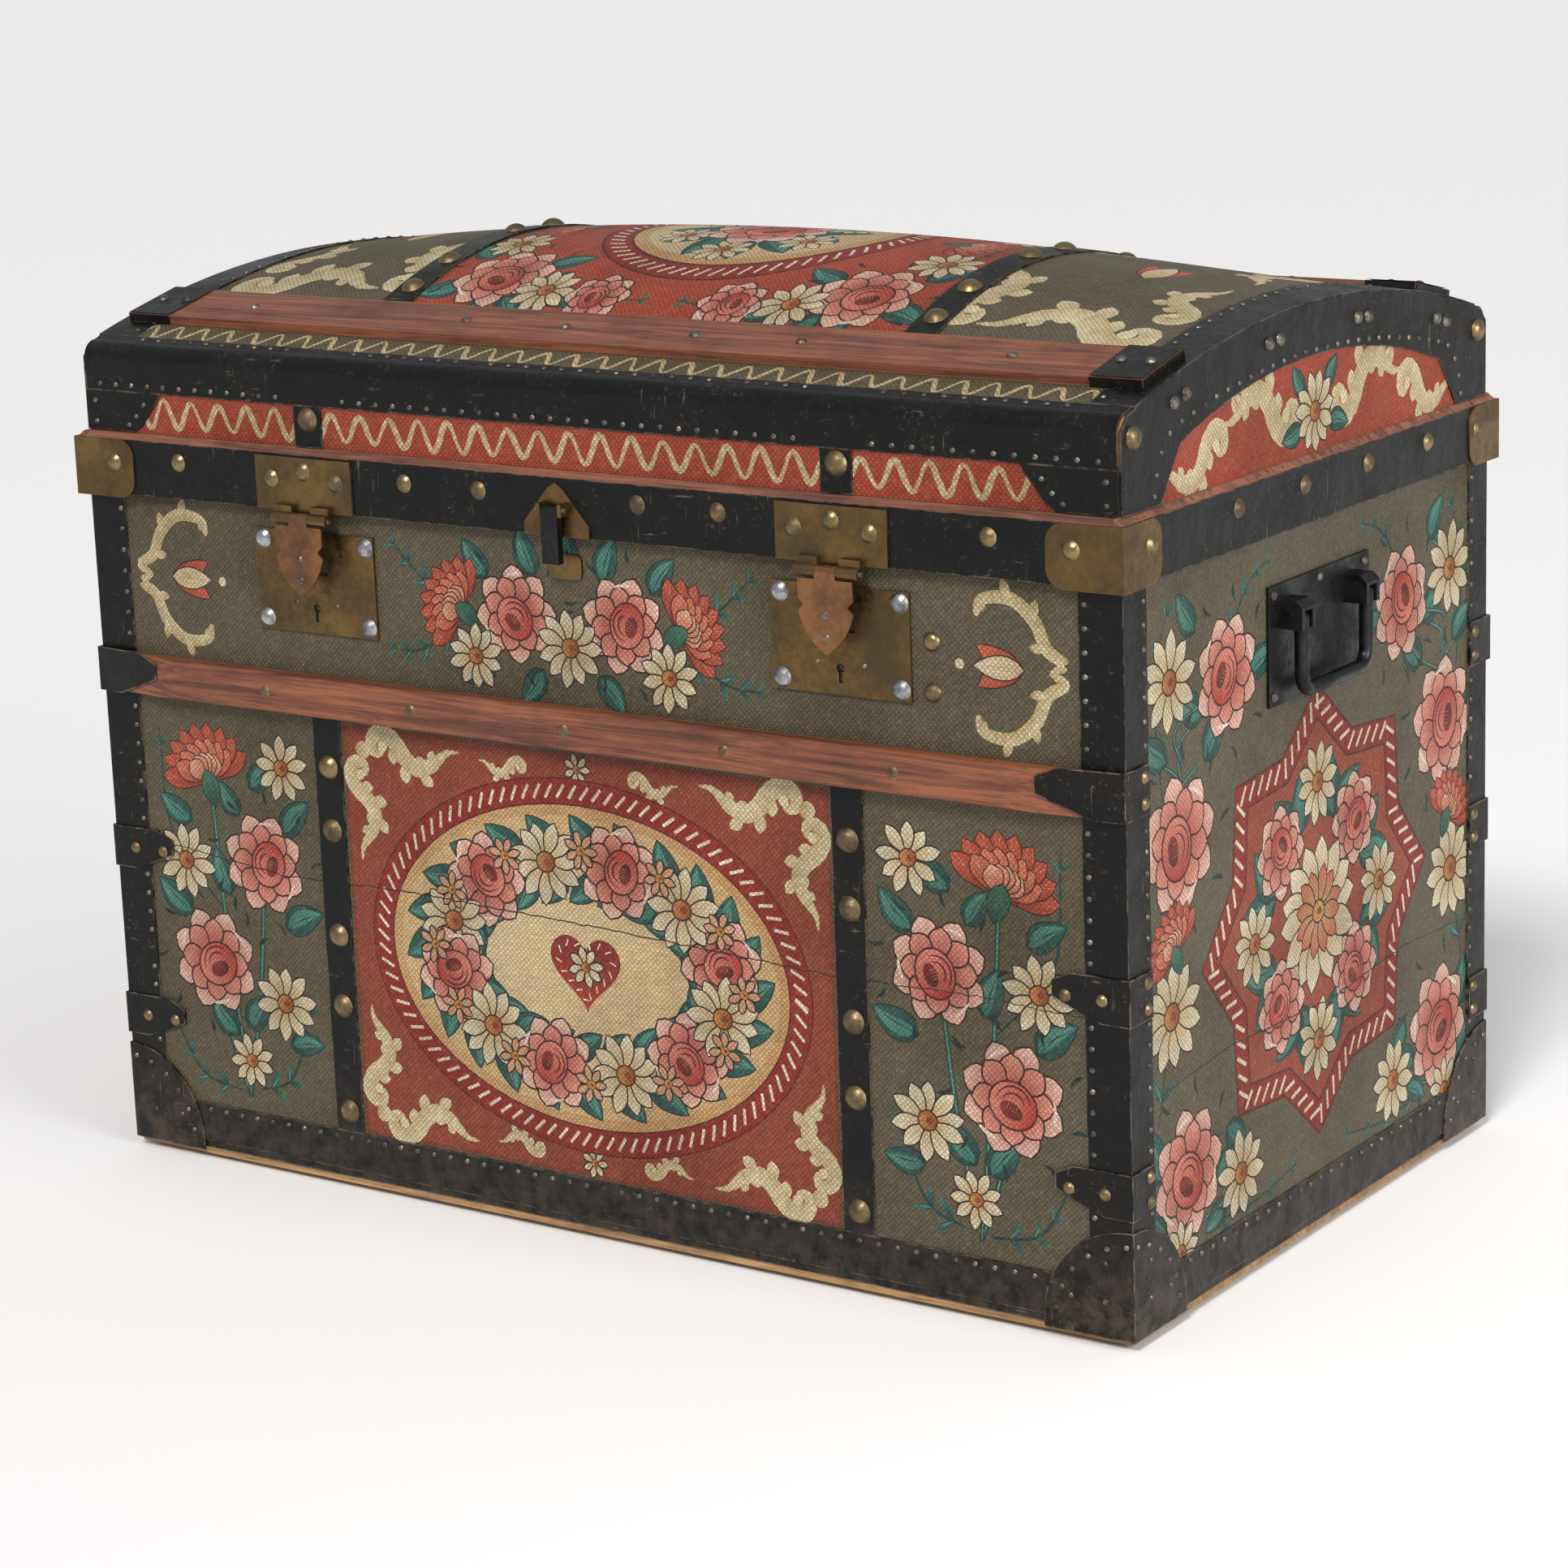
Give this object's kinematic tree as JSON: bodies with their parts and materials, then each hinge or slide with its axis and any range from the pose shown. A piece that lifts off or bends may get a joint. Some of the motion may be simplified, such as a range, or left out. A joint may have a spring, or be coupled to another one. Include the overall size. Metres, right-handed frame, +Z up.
{
  "type": "dome-top wedding chest",
  "caption": "Domed wedding chest of canvas-covered boards with painted flower panels, sheet-metal bindings, wooden slats, two hasp locks, a centre catch and a bail handle at each end.",
  "frame": {"origin": "middle of the closed chest's bounding box, on the floor the base pads stand on", "axes": "+Z up; +X along the chest's length towards its right end; the front with the locks faces -Y"},
  "size_m": [0.832, 0.511, 0.627],
  "materials": {
    "fibre": "coarse golden fibre",
    "board": "bare pine boards",
    "steel_strip": "blackened sheet steel",
    "paper": "aged lining paper",
    "canvas": "painted canvas under old varnish",
    "binding": "black lacquer on sheet steel, worn at the edges",
    "clamp": "black lacquered sheet steel, worn",
    "slat": "varnished red-brown hardwood",
    "nail": "tarnished brass",
    "steel_nail": "dull domed steel",
    "lock_plate": "dark aged brass",
    "lock_steel": "plain steel",
    "iron": "dark wrought iron",
    "copper": "coppery aged brass"
  },
  "bodies": {
    "trunk": {"back_board": "board", "back_canvas": "canvas", "back_slat": "slat", "base_edge_strips": "steel_strip", "base_pads": "fibre", "body_lining": "paper", "body_straps": "binding", "bottom_bindings": "binding", "bottom_board": "board", "bottom_corner_caps": "clamp", "catch_keeper": "lock_plate", "clamp_nails": "nail", "corner_bindings": "binding", "corner_clamps": "clamp", "end_canvases": "canvas", "front_board": "board", "front_canvas": "canvas", "front_slat": "slat", "hinge_body_leaves": "clamp", "left_end_board": "board", "left_handle_plate": "iron", "lock_cases": "lock_steel", "lock_nails": "steel_nail", "lock_plates": "lock_plate", "right_end_board": "board", "right_handle_plate": "iron", "slat_clamps": "clamp", "slat_nails": "nail", "strap_nails": "nail"},
    "lid": {"band_nails": "nail", "catch_pin": "lock_steel", "catch_plate": "lock_plate", "hasp_nails": "nail", "hasp_pins": "lock_steel", "hasp_plates": "lock_plate", "hinge_lid_leaves": "clamp", "hinge_pins": "lock_steel", "lid_arch_bindings": "binding", "lid_back_board": "board", "lid_band": "binding", "lid_corner_plates": "lock_plate", "lid_dome_boards": "board", "lid_dome_canvas": "canvas", "lid_edge_bindings": "binding", "lid_end_canvases": "canvas", "lid_front_board": "board", "lid_left_board": "board", "lid_right_board": "board", "lid_rim_rails": "slat", "lid_slats": "slat", "lid_strap_nails": "nail", "lid_straps": "binding", "lid_wall_canvases": "canvas"},
    "left_hasp": {"left_hasp_tongue": "copper"},
    "right_hasp": {"right_hasp_tongue": "copper"},
    "centre_catch": {"catch_hook": "iron"},
    "left_handle": {"left_handle_bail": "iron"},
    "right_handle": {"right_handle_bail": "iron"},
    "left_bolt": {"left_lock_bolt": "lock_steel"},
    "right_bolt": {"right_lock_bolt": "lock_steel"}
  },
  "joints": [
    {"name": "lid_hinge", "type": "hinge", "parent": "trunk", "child": "lid", "pos_m": [0, 0.251, 0.466], "axis": [-1, 0, 0], "range_deg": [0, 100]},
    {"name": "left_hasp_hinge", "type": "hinge", "parent": "lid", "child": "left_hasp", "pos_m": [-0.205, -0.2515, 0.462], "axis": [-1, 0, 0], "range_deg": [0, 120]},
    {"name": "right_hasp_hinge", "type": "hinge", "parent": "lid", "child": "right_hasp", "pos_m": [0.205, -0.2515, 0.462], "axis": [-1, 0, 0], "range_deg": [0, 120]},
    {"name": "centre_catch_hinge", "type": "hinge", "parent": "lid", "child": "centre_catch", "pos_m": [0, -0.2525, 0.484], "axis": [-1, 0, 0], "range_deg": [0, 120]},
    {"name": "left_handle_hinge", "type": "hinge", "parent": "trunk", "child": "left_handle", "pos_m": [-0.411, 0, 0.412], "axis": [0, 1, 0], "range_deg": [0, 90]},
    {"name": "right_handle_hinge", "type": "hinge", "parent": "trunk", "child": "right_handle", "pos_m": [0.411, 0, 0.412], "axis": [0, -1, 0], "range_deg": [0, 90]},
    {"name": "left_bolt_slide", "type": "slide", "parent": "trunk", "child": "left_bolt", "axis": [1, 0, 0], "range_m": [0, 0.006]},
    {"name": "right_bolt_slide", "type": "slide", "parent": "trunk", "child": "right_bolt", "axis": [1, 0, 0], "range_m": [0, 0.006]}
  ]
}
